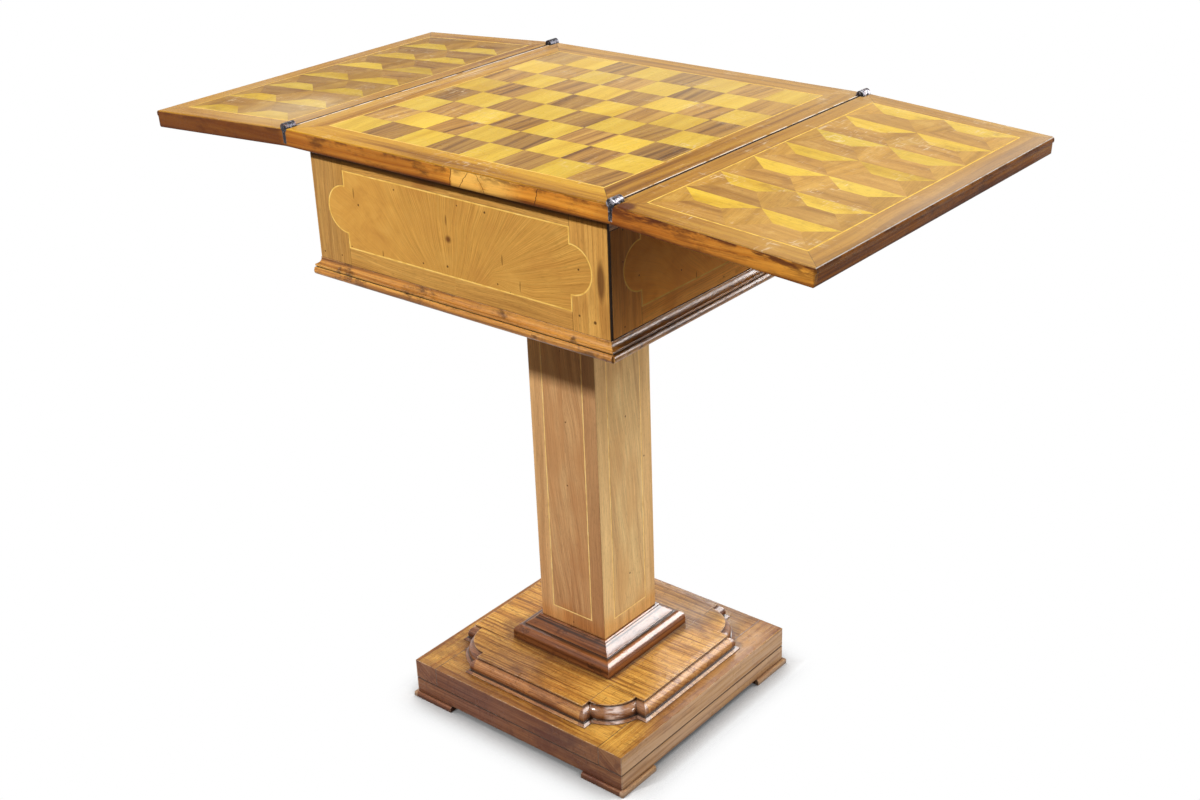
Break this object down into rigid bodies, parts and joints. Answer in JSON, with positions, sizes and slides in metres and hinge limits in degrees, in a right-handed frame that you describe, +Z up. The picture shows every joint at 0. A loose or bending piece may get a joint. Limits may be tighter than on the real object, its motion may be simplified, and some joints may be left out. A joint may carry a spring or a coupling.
{
  "type": "chess table",
  "caption": "Pedestal chess table with an inlaid board, two folding leaves in geometric marquetry, a drawer in the box below, and a square column on a stepped plinth.",
  "frame": {"origin": "on the floor under the middle of the table", "axes": "+X from the left leaf to the right leaf and the way the drawer opens, -Y the front, +Z up"},
  "size_m": [0.9096, 0.457, 0.7616],
  "materials": {
    "walnut_solid": "waxed, aged",
    "walnut_veneer": "french polished, aged",
    "figured_walnut": "french polished, aged",
    "walnut_border": "french polished, aged",
    "boxwood": "french polished, aged",
    "dark_square_walnut": "french polished, aged",
    "dark_marquetry": "french polished, aged",
    "brown_marquetry": "french polished, aged",
    "pine": "bare",
    "hinge_iron": "blackened",
    "screw_steel": "dull"
  },
  "bodies": {
    "stand": {"plinth_lower_board": "walnut_solid", "plinth_upper_board": "walnut_solid", "plinth_cleats": "walnut_solid", "corner_feet": "walnut_solid", "platform_board": "walnut_solid", "platform_side_mouldings": "walnut_solid", "platform_corner_lobes": "walnut_solid", "column_foot_mouldings": "walnut_solid", "column_front_board": "walnut_veneer", "column_back_board": "walnut_veneer", "column_side_boards": "walnut_veneer", "column_lines": "boxwood", "column_foot_block": "pine", "column_head_block": "pine", "pedestal_screws": "screw_steel", "box_floor": "pine", "box_front_panel": "pine", "box_back_panel": "pine", "box_left_panel": "pine", "drawer_top_rail": "walnut_solid", "box_mouldings": "walnut_solid", "box_border_veneers": "walnut_veneer", "box_lines": "boxwood", "box_field_veneers": "figured_walnut", "drawer_runners": "pine", "drawer_kickers": "pine", "drawer_stops": "pine", "top_screws": "screw_steel", "middle_core": "walnut_solid", "middle_border": "walnut_border", "field_line": "boxwood", "light_squares": "boxwood", "dark_squares": "dark_square_walnut", "middle_hinge_plates": "hinge_iron", "middle_hinge_screws": "screw_steel", "hinge_pins": "hinge_iron"},
    "left_leaf": {"left_leaf_core": "walnut_solid", "left_leaf_border": "walnut_border", "left_leaf_line": "boxwood", "left_leaf_light_pieces": "boxwood", "left_leaf_dark_pieces": "dark_marquetry", "left_leaf_brown_pieces": "brown_marquetry", "left_leaf_hinge_plates": "hinge_iron", "left_leaf_hinge_screws": "screw_steel"},
    "right_leaf": {"right_leaf_core": "walnut_solid", "right_leaf_border": "walnut_border", "right_leaf_line": "boxwood", "right_leaf_light_pieces": "boxwood", "right_leaf_dark_pieces": "dark_marquetry", "right_leaf_brown_pieces": "brown_marquetry", "right_leaf_hinge_plates": "hinge_iron", "right_leaf_hinge_screws": "screw_steel"},
    "drawer": {"drawer_front": "pine", "drawer_sides": "pine", "drawer_back": "pine", "drawer_bottom": "pine", "drawer_border_veneer": "walnut_veneer", "drawer_line": "boxwood", "drawer_field_veneer": "figured_walnut"}
  },
  "joints": [
    {"name": "left_leaf_fold", "type": "hinge", "parent": "stand", "child": "left_leaf", "pos_m": [-0.22876, 0, 0.7568], "axis": [0, 1, 0], "range_deg": [0, 183.5]},
    {"name": "right_leaf_fold", "type": "hinge", "parent": "stand", "child": "right_leaf", "pos_m": [0.22876, 0, 0.7568], "axis": [0, -1, 0], "range_deg": [0, 183.5]},
    {"name": "drawer_slide", "type": "slide", "parent": "stand", "child": "drawer", "axis": [1, 0, 0], "range_m": [0, 0.27]}
  ]
}
